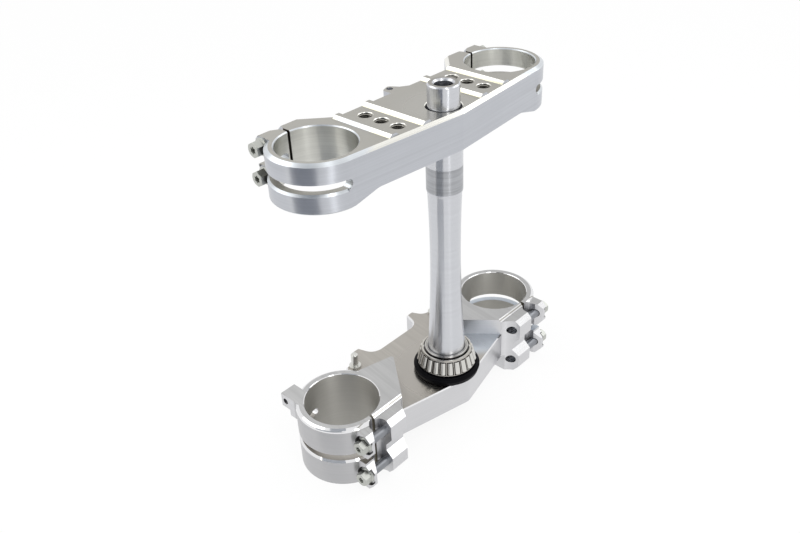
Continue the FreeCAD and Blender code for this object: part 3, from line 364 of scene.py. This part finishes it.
grain(tree, shader, height, strength=0.06)
grooved(tree, shader, (1.0, 0.0, 0.0), amount=0.8)
give(lower_metal, "lower_clamp")
break_edges("lower_clamp", wide=0.00022)

# The dust seal is a moulded rubber ring, pressed down round the clamp's turned boss. Its black
# skin hardly shines, and dust and fingers leave it a little uneven.
SEAL_BLACK = (0.002, 0.002, 0.003)
SEAL_ROUGH = 0.45
seal_rubber, tree, shader = new_material("Seal rubber")
handled = worn(tree, on_surface(tree), amount=0.5)
tree.links.new(lit(tree, SEAL_BLACK, handled), shader.inputs["Base Color"])
tree.links.new(sums(tree, "ADD", SEAL_ROUGH, handled), shader.inputs["Roughness"])
shader.inputs["Specular IOR Level"].default_value = 0.05
give(seal_rubber, "dust_seal")

# The stem is turned from one bar, polished between the bearings and ground where they sit. The
# upper seat is left grey and scratched by the bearing that has been pressed over it.
SEAT_FOOT = (0.1932, 0.1938)            # the heights over which the ground seat begins
SEAT_TOP = (0.2130, 0.2138)             # and ends
POLISHED = (0.59, 0.60, 0.63)
GROUND = (0.40, 0.41, 0.43)
FACED_END = (0.34, 0.33, 0.31)
STEM_ROUGH = 0.22
GROUND_ROUGH = 0.3
FACED_ROUGH = 0.45
stem_metal, tree, shader, where = new_metal("Turned stem")
faces = placed(tree, facing)
height_up = apart(tree, where)["Z"]
on_seat = sums(tree, "MULTIPLY", between(tree, height_up, *SEAT_FOOT),
               inverse(tree, between(tree, height_up, *SEAT_TOP)))
colour = paint(tree, on_seat, POLISHED, GROUND)
colour = paint(tree, faces["Top"], colour, FACED_END)
turned_lines = lined(tree, where, (3.0, 3.0, 1800.0), depth=0.3)
scratches = sums(tree, "MULTIPLY", lined(tree, where, (30.0, 30.0, 900.0), depth=1.2)["Shade"], on_seat)
tree.links.new(lit(tree, colour, turned_lines["Shade"], scratches), shader.inputs["Base Color"])
rough = blend(tree, "FLOAT", on_seat, STEM_ROUGH, GROUND_ROUGH)
tree.links.new(blend(tree, "FLOAT", faces["Top"], rough, FACED_ROUGH), shader.inputs["Roughness"])
grain(tree, shader, turned_lines["Height"], strength=0.08)
grooved(tree, shader, (1.0, 0.0, 0.0), amount=0.85)
give(stem_metal, "steering_stem")
break_edges("steering_stem")

# The cone is the bearing's inner ring, of hard steel, ground all over and pressed on the stem.
# The grinding wheel leaves rings on its top, and under the cage it is in deep shadow.
CONE_TOP = 0.0184                       # radius of the cone's upper rim
UNDER_CAGE = (CONE_TOP - 0.0005, CONE_TOP - 0.0002)
RING_PITCH = 0.0012083                  # from one of the wheel's rings to the next
RING_DEPTH = 0.45
CONE_STEEL = (0.42, 0.41, 0.39)
CAGE_SHADOW = (0.015, 0.015, 0.015)
cone_metal, tree, shader, where = new_metal("Ground bearing steel")
outwards, from_stem = off_axis(tree, where)
rings = sums(tree, "SINE", sums(tree, "MULTIPLY", from_stem, 2 * math.pi / RING_PITCH))
rings = sums(tree, "MULTIPLY", rings, RING_DEPTH)
colour = paint(tree, between(tree, from_stem, *UNDER_CAGE), CONE_STEEL, CAGE_SHADOW)
turned_shade = lined(tree, where, (3.0, 3.0, 3000.0), depth=0.5)["Shade"]
tree.links.new(lit(tree, colour, turned_shade, rings), shader.inputs["Base Color"])
shader.inputs["Roughness"].default_value = 0.22
grooved(tree, shader, outwards, amount=0.8)
give(cone_metal, "bearing_cone")
break_edges("bearing_cone")

# The rollers are tapered, of hard steel ground to a mirror, and held in the cage's windows. They
# spin, so their finish is the same all round.
rollers = [name for name in nodes if name.startswith("roller_")]
roller_metal, tree, shader = new_material("Ground roller steel")
shader.inputs["Metallic"].default_value = 1.0
shader.inputs["Base Color"].default_value = (0.64, 0.63, 0.60, 1.0)
shader.inputs["Roughness"].default_value = 0.07
give(roller_metal, *rollers)

# The cage is pressed from sheet steel, with a window punched out for each roller. The punched edges and the inside
# are painted dark as shade, the outside is bright, and the rim is painted lighter still as the light on it.
WINDOW_HALF = 0.0024                    # at the window's foot, less WINDOW_TAPER as it rises
WINDOW_TAPER = 0.03
WINDOW_FOOT = 0.0347
WINDOW_TOP = 0.0449
WINDOW_SHADE_REACH = (0.0005, 0.00058)         # how far past the window's edge the painted shade ends
SQUARE_ON = (0.75, 0.9)                 # from where a face counts as outside, or as the rim
CAGE_SKIN = (0.46, 0.44, 0.41)
CAGE_RIM_LIGHT = (0.54, 0.52, 0.48)
WINDOW_EDGE_SHADE = (0.006, 0.006, 0.007)
first_roller = next(joint["pos_m"] for joint in frame["joints"] if joint["child"] == "roller_01")
first_angle = math.atan2(first_roller[1], first_roller[0])
cage_metal, tree, shader, where = new_metal("Pressed cage steel")
position = apart(tree, where)
outwards, from_stem = off_axis(tree, where)
outwards = vectors(tree, "NORMALIZE", outwards)["Vector"]
looks = tree.nodes.new("ShaderNodeNewGeometry").outputs["True Normal"]
looks_out = vectors(tree, "DOT_PRODUCT", looks, outwards)["Value"]
# Faces of the cage that don't look outwards are painted near black as shade.
colour = paint(tree, between(tree, looks_out, *SQUARE_ON), CAGE_SHADOW, CAGE_SKIN)
# Faces of the cage that look up, on the rim, are painted lighter as the light that falls on them.
colour = paint(tree, between(tree, apart(tree, looks)["Z"], *SQUARE_ON), colour, CAGE_RIM_LIGHT)
angle = sums(tree, "SUBTRACT", sums(tree, "ARCTAN2", position["Y"], position["X"]), first_angle)
from_roller = sums(tree, "MULTIPLY", sums(tree, "PINGPONG", angle, math.pi / len(rollers)), from_stem)
above_foot = sums(tree, "SUBTRACT", position["Z"], WINDOW_FOOT)
window_half = sums(tree, "SUBTRACT", WINDOW_HALF, sums(tree, "MULTIPLY", above_foot, WINDOW_TAPER))
past_side = sums(tree, "SUBTRACT", from_roller, window_half)
past_foot = sums(tree, "SUBTRACT", WINDOW_FOOT, position["Z"])
past_top = sums(tree, "SUBTRACT", position["Z"], WINDOW_TOP)
past_edge = sums(tree, "MAXIMUM", past_side, sums(tree, "MAXIMUM", past_foot, past_top))
by_window = inverse(tree, between(tree, past_edge, *WINDOW_SHADE_REACH))
# The edges of each roller's window are painted near black as the shade in the gap round the roller.
colour = paint(tree, by_window, colour, WINDOW_EDGE_SHADE)
tree.links.new(lit(tree, colour, worn(tree, where, amount=0.3)), shader.inputs["Base Color"])
shader.inputs["Roughness"].default_value = 0.22
give(cage_metal, "bearing_cage")

# The upper clamp is milled from billet too. Its top is blasted matt, its long sides keep the
# lines of the side cutter, and the rings are turned. Ribs cross it between the holes and rings.
upper_fork = mounts["upper_fork_clamp_right"]
bar_mount = mounts["bar_mount_corners"]
UPPER_BORE = upper_fork["dims"]["r_mm"] / 1000
UPPER_RING = (0.0344, 0.0400)           # from the fork leg's axis, where the ring's edge ends
MATT = (0.018, 0.048)                   # from the stem's axis, where the polish turns matt
RIB_FOOT = (0.0006, 0.0013)             # above the top, where the ribs' lower part, with its painted warm reflection, ends
HOLE_SKIN = 0.0002
BAR_HOLE_MIDDLE, UPPER_TOP = bar_mount["pos_m"][1:]
BAR_HOLE_X = bar_mount["dims"]["spacing_x_mm"] / 2000
BAR_HOLE_PITCH = bar_mount["dims"]["spacing_y_mm"] / 2000
BAR_HOLE_RADIUS = bar_mount["dims"]["hole_r_mm"] / 1000
BAR_HOLE_REAR = BAR_HOLE_MIDDLE - BAR_HOLE_PITCH
ROW_HALF = BAR_HOLE_PITCH + 0.0058      # past the last hole of the row
UPPER_SIDE = (0.50, 0.515, 0.55)
UPPER_BORE_GREY = (0.62, 0.62, 0.585)
BLASTED = (0.41, 0.40, 0.37)
RIB_FOOT_REFLECTION = (0.68, 0.66, 0.50)
RIB_WHITE = (0.84, 0.83, 0.78)
RING_EDGE = (0.64, 0.67, 0.70)
HOLE_SHADE = (0.05, 0.05, 0.05)
UPPER_SLIT_SHADE = (0.05, 0.04, 0.03)
TOP_POLISHED_ROUGH = 0.22
TOP_MATT_ROUGH = 0.42
RING_EDGE_ROUGH = 0.32
RIB_ROUGH = 0.15
upper_metal, tree, shader, where = new_metal("Milled billet, upper clamp")
faces = placed(tree, facing)
position = apart(tree, where)
from_stem = off_axis(tree, where)[1]
from_leg = off_leg(tree, position)
in_bore = sums(tree, "LESS_THAN", from_leg, UPPER_BORE + BORE_SKIN)
off_ring = between(tree, from_leg, *UPPER_RING)
colour = paint(tree, in_bore, UPPER_SIDE, UPPER_BORE_GREY)
colour = paint(tree, faces["Top"], colour, BLASTED)
up_rib = between(tree, sums(tree, "SUBTRACT", position["Z"], UPPER_TOP), *RIB_FOOT)
up_rib = sums(tree, "MAXIMUM", up_rib, sums(tree, "LESS_THAN", position["Z"], UPPER_TOP))
# The lower part of each rib's slope is painted cream as a painted reflection of the warm floor.
slope_colour = paint(tree, off_ring, RING_EDGE, paint(tree, up_rib, RIB_FOOT_REFLECTION, RIB_WHITE))
colour = paint(tree, faces["Slope"], colour, slope_colour)
aside = sums(tree, "SUBTRACT", sums(tree, "ABSOLUTE", position["X"]), BAR_HOLE_X)
along = sums(tree, "PINGPONG", sums(tree, "SUBTRACT", position["Y"], BAR_HOLE_REAR), BAR_HOLE_PITCH / 2)
from_hole = vectors(tree, "LENGTH", flat(tree, aside, along))["Value"]
from_middle = sums(tree, "ABSOLUTE", sums(tree, "SUBTRACT", position["Y"], BAR_HOLE_MIDDLE))
in_hole = sums(tree, "MULTIPLY", sums(tree, "LESS_THAN", from_hole, BAR_HOLE_RADIUS + HOLE_SKIN),
               sums(tree, "LESS_THAN", from_middle, ROW_HALF))
# The walls of the bar holes are painted near black as the shade inside the holes.
colour = paint(tree, sums(tree, "MULTIPLY", in_hole, faces["Side"]), colour, HOLE_SHADE)
flanges = flange_shadows(tree, position, faces["Top"], "upper_pinch_bolt_right_high",
                       "upper_pinch_bolt_right_low")
# The ring round each upper bolt's flange is painted dark as the flange's shadow.
colour = paint(tree, flanges, colour, FLANGE_SHADOW)
slit = in_slit(tree, position, sums(tree, "SUBTRACT", faces["Side"], in_bore), "GREATER_THAN")
# The walls of the upper clamp's saw slit are painted near black as painted shade.
colour = paint(tree, slit, colour, UPPER_SLIT_SHADE)
turned_lines = lined(tree, where, (7.0, 7.0, 2000.0), depth=0.55)
handled = worn(tree, where, amount=0.14)
lines = blend(tree, "FLOAT", faces["Top"], turned_lines["Shade"], 0.0)
tree.links.new(lit(tree, colour, lines, handled), shader.inputs["Base Color"])
top_rough = blend(tree, "FLOAT", between(tree, from_stem, *MATT), TOP_POLISHED_ROUGH, TOP_MATT_ROUGH)
rough = blend(tree, "FLOAT", faces["Top"], SIDE_ROUGH, top_rough)
slope_rough = blend(tree, "FLOAT", off_ring, RING_EDGE_ROUGH, RIB_ROUGH)
tree.links.new(blend(tree, "FLOAT", faces["Slope"], rough, slope_rough), shader.inputs["Roughness"])
height = blend(tree, "FLOAT", faces["Top"], turned_lines["Height"], handled)
grain(tree, shader, height, strength=0.08)
grooved(tree, shader, (1.0, 0.0, 0.0), amount=0.8)
give(upper_metal, "upper_clamp")
break_edges("upper_clamp", wide=0.00022)

# The six holes for the handlebar mounts are tapped. Each thread stands on its hole's wall, wound
# right-handed and rooted a little way into the metal.
THREAD_PITCH = 0.00125
THREAD_DEEP = 0.00062                   # how far the ridge stands out of the wall
THREAD_ROOT = 0.00004                   # and how far it is rooted in it
THREAD_CORNERS = (0.06, 0.42, 0.58, 0.94)   # of the ridge's outline, in pitches
THREAD_TOP = UPPER_TOP - 0.0006
THREAD_FOOT = THREAD_TOP - 0.027
THREAD_STEPS = 32                       # in each turn
THREAD_GREY = (0.30, 0.29, 0.26)


def put(name, bm, material):
    """A new object made from the mesh."""
    mesh = bpy.data.meshes.new(name)
    bm.to_mesh(mesh)
    bm.free()
    mesh.materials.append(material)
    item = bpy.data.objects.new(name, mesh)
    bpy.context.scene.collection.objects.link(item)
    return item


def cut_thread(name, x, y, material):
    """The thread of one upright hole, as a closed ridge that winds up its wall."""
    turns = int((THREAD_TOP - THREAD_FOOT) / THREAD_PITCH)
    root = BAR_HOLE_RADIUS + THREAD_ROOT
    crest = BAR_HOLE_RADIUS - THREAD_DEEP
    bm = bmesh.new()
    outline = zip((root, crest, crest, root), THREAD_CORNERS)
    profile = [bm.verts.new((across, 0.0, THREAD_FOOT + up * THREAD_PITCH)) for across, up in outline]
    chain = [bm.edges.new(pair) for pair in zip(profile, profile[1:] + profile[:1])]
    bmesh.ops.spin(bm, geom=chain, axis=(0, 0, 1), cent=(0, 0, 0), dvec=(0, 0, THREAD_PITCH / THREAD_STEPS),
                   angle=2 * math.pi * turns, steps=turns * THREAD_STEPS)
    bmesh.ops.holes_fill(bm, edges=bm.edges, sides=4)
    bmesh.ops.recalc_face_normals(bm, faces=bm.faces)
    bmesh.ops.translate(bm, vec=(x, y, 0.0), verts=bm.verts)
    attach(put(name, bm, material), "clamp_set")


thread_metal, tree, shader, where = new_metal("Tapped billet")
tree.links.new(lit(tree, THREAD_GREY, worn(tree, where, amount=0.3)), shader.inputs["Base Color"])
shader.inputs["Roughness"].default_value = 0.3
for side_name, hole_x in (("right", BAR_HOLE_X), ("left", -BAR_HOLE_X)):
    for row in range(3):
        hole_y = BAR_HOLE_REAR + row * BAR_HOLE_PITCH
        cut_thread(f"bar_thread_{side_name}_{row + 1}", hole_x, hole_y, thread_metal)

# The eight pinch bolts are forged steel with a dull zinc coat and a flange under the head. The shanks, between the
# lug and the ring, are painted darker than the heads as shade.
HEAD_FROM = 0.1118                      # flanges and heads lie outside this X
BOLT_ROUGH = 0.36
SHANK_SHADE = (0.26, 0.27, 0.29)
HEAD_GREY = (0.50, 0.51, 0.48)
bolts = [name for name in nodes if "pinch_bolt" in name]
zinc, tree, shader, where = new_metal("Zinc plated steel")
handled = worn(tree, where, amount=0.3)
on_head = sums(tree, "GREATER_THAN", sums(tree, "ABSOLUTE", apart(tree, where)["X"]), HEAD_FROM)
# The shanks, inside HEAD_FROM, are painted darker as the shade between the lug and the ring.
colour = paint(tree, on_head, SHANK_SHADE, HEAD_GREY)
tree.links.new(lit(tree, colour, handled), shader.inputs["Base Color"])
tree.links.new(sums(tree, "ADD", BOLT_ROUGH, handled), shader.inputs["Roughness"])
give(zinc, *bolts)
break_edges(*bolts)

# The two collared studs are turned steel with a bright zinc coat. They are screwed down into the
# ears at the front of the lower clamp.
STUD_GREY = (0.66, 0.66, 0.63)
STUD_ROUGH = 0.3
studs = ("locating_stud_right", "locating_stud_left")
bright_zinc, tree, shader, where = new_metal("Bright zinc plated steel")
handled = worn(tree, where, amount=0.3)
tree.links.new(lit(tree, STUD_GREY, handled), shader.inputs["Base Color"])
tree.links.new(sums(tree, "ADD", STUD_ROUGH, handled), shader.inputs["Roughness"])
give(bright_zinc, *studs)
break_edges(*studs, wide=0.0003)

# The object stands on a white sweep, which the camera and the metal see burnt out to white and
# everything else sees as matt paint.
FLOOR_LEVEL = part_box("lower_clamp")[0][2]
FLOOR_HALF = 4.0
BURNT_OUT = 0.9                         # the share of the glow that hides the paint
sweep_paint, tree, shader = new_material("White sweep")
shader.inputs["Base Color"].default_value = (0.9, 0.9, 0.9, 1.0)
shader.inputs["Roughness"].default_value = 0.9
rays = tree.nodes.new("ShaderNodeLightPath").outputs
mirrored = sums(tree, "MAXIMUM", rays["Is Glossy Ray"], rays["Is Transmission Ray"])
seen = sums(tree, "MAXIMUM", rays["Is Camera Ray"], mirrored)
glow = shade(tree, "ShaderNodeEmission", {"Color": (1.0, 1.0, 1.0, 1.0), "Strength": 1.0}).outputs[0]
mix = shade(tree, "ShaderNodeMixShader", {0: sums(tree, "MULTIPLY", seen, BURNT_OUT), 1: shader.outputs[0],
                                          2: glow}).outputs[0]
tree.links.new(mix, tree.nodes["Material Output"].inputs["Surface"])
bm = bmesh.new()
bmesh.ops.create_grid(bm, x_segments=1, y_segments=1, size=FLOOR_HALF,
                      matrix=Matrix.Translation((0, 0, FLOOR_LEVEL)))
put("floor", bm, sweep_paint)

# A dark cloth flag bends round the left and leans over. Only the metal mirrors it: a lying strip,
# an upright wall with a darker band across it, and a sloping top.
FLAG_FROM = math.radians(-192.0)
FLAG_TO = math.radians(-148.0)
FLAG_FOOT = FLOOR_LEVEL + 0.002
FLAG_PROFILE = ((0.26, FLAG_FOOT), (0.42, FLAG_FOOT), (0.42, 0.55), (0.22, 0.80))  # away, height
FLAG_BAND = 0.15                        # height of the darker band's middle
FLAG_BAND_HALF = (0.03, 0.06)
LYING_GREY = (0.42, 0.43, 0.45)
WALL_GREY = (0.38, 0.40, 0.43)
BAND_NAVY = (0.05, 0.06, 0.11)
flag_cloth, tree, shader = new_material("Dark flag")
height_up = apart(tree, on_surface(tree))["Z"]
from_band = sums(tree, "ABSOLUTE", sums(tree, "SUBTRACT", height_up, FLAG_BAND))
on_band = inverse(tree, between(tree, from_band, *FLAG_BAND_HALF))
lying = sums(tree, "LESS_THAN", height_up, FLAG_FOOT + 0.001)
colour = paint(tree, lying, WALL_GREY, LYING_GREY)
tree.links.new(paint(tree, on_band, colour, BAND_NAVY), shader.inputs["Base Color"])
shader.inputs["Roughness"].default_value = 0.9
bm = bmesh.new()
turn = Matrix.Rotation(FLAG_FROM, 4, "Z")
profile = [bm.verts.new(turn @ Vector((away, 0.0, height))) for away, height in FLAG_PROFILE]
chain = [bm.edges.new(pair) for pair in zip(profile, profile[1:])]
bmesh.ops.spin(bm, geom=chain, axis=(0, 0, 1), cent=(0, 0, 0), angle=FLAG_TO - FLAG_FROM, steps=16)
flag = put("dark_flag", bm, flag_cloth)
for kind in ("camera", "diffuse", "shadow", "transmission", "volume_scatter"):
    setattr(flag, "visible_" + kind, False)

# White walls light the object evenly. As the camera sees it, a soft box on each side, a narrow one
# in front and a low one at the left draw the bright lines along the metal.
BOXES_AIM = Vector((0.0, 0.0, 0.13))
BOXES_AWAY = 0.9
world = bpy.data.worlds.new("Studio")
world.use_nodes = True
bpy.context.scene.world = world
background = world.node_tree.nodes["Background"]
background.inputs["Color"].default_value = (1.0, 1.0, 1.0, 1.0)
background.inputs["Strength"].default_value = 1.0


def soft_box(name, azimuth, elevation, wide, tall, glow):
    """An area lamp that looks at the object, with the radiance of its face given."""
    lamp = bpy.data.lights.new(name, "AREA")
    lamp.shape = "RECTANGLE"
    lamp.size = wide
    lamp.size_y = tall
    lamp.energy = glow * math.pi * wide * tall
    turn = math.radians(azimuth)
    rise = math.radians(elevation)
    direction = Vector((math.cos(turn) * math.cos(rise), math.sin(turn) * math.cos(rise), math.sin(rise)))
    item = bpy.data.objects.new(name, lamp)
    item.location = BOXES_AIM + direction * BOXES_AWAY
    item.rotation_euler = direction.to_track_quat("Z", "Y").to_euler()
    bpy.context.scene.collection.objects.link(item)
    return lamp


soft_box("Right soft box", azimuth=-35.0, elevation=40.0, wide=0.75, tall=0.45, glow=1.2)
soft_box("Left soft box", azimuth=123.0, elevation=46.0, wide=0.6, tall=0.5, glow=1.2)
soft_box("Front strip", azimuth=-111.0, elevation=30.0, wide=0.17, tall=1.5, glow=3.0)
low_strip = soft_box("Low strip", azimuth=168.0, elevation=5.0, wide=0.12, tall=0.9, glow=1.6)
low_strip.color = (1.0, 0.94, 0.80)

# The camera stands where the photographer's did, found from the circles of the rings and the
# stem: behind the object on its left, and a little turned about the line of sight.
FROM_AZIMUTH = math.radians(-45.80)
FROM_ELEVATION = math.radians(32.77)
ROLL = math.radians(-2.66)
AIM = Vector((-0.05081, 0.0, 0.15014))
AWAY = 0.61192
LENS = 37.94
back = Vector((math.sin(FROM_AZIMUTH) * math.cos(FROM_ELEVATION),
               -math.cos(FROM_AZIMUTH) * math.cos(FROM_ELEVATION), math.sin(FROM_ELEVATION)))
across = (-back).cross(Vector((0, 0, 1))).normalized()
upward = across.cross(-back)
right = across * math.cos(ROLL) + upward * math.sin(ROLL)
above = upward * math.cos(ROLL) - across * math.sin(ROLL)
camera = bpy.data.objects.new("Camera", bpy.data.cameras.new("Camera"))
camera.data.sensor_width = 36.0
camera.data.lens = LENS
camera.data.clip_start = 0.02
turned = Matrix((right, above, back)).transposed().to_4x4()
camera.matrix_world = Matrix.Translation(AIM + back * AWAY) @ turned
bpy.context.scene.collection.objects.link(camera)
bpy.context.scene.camera = camera
bpy.context.scene.view_settings.view_transform = "Standard"

bpy.context.view_layer.update()
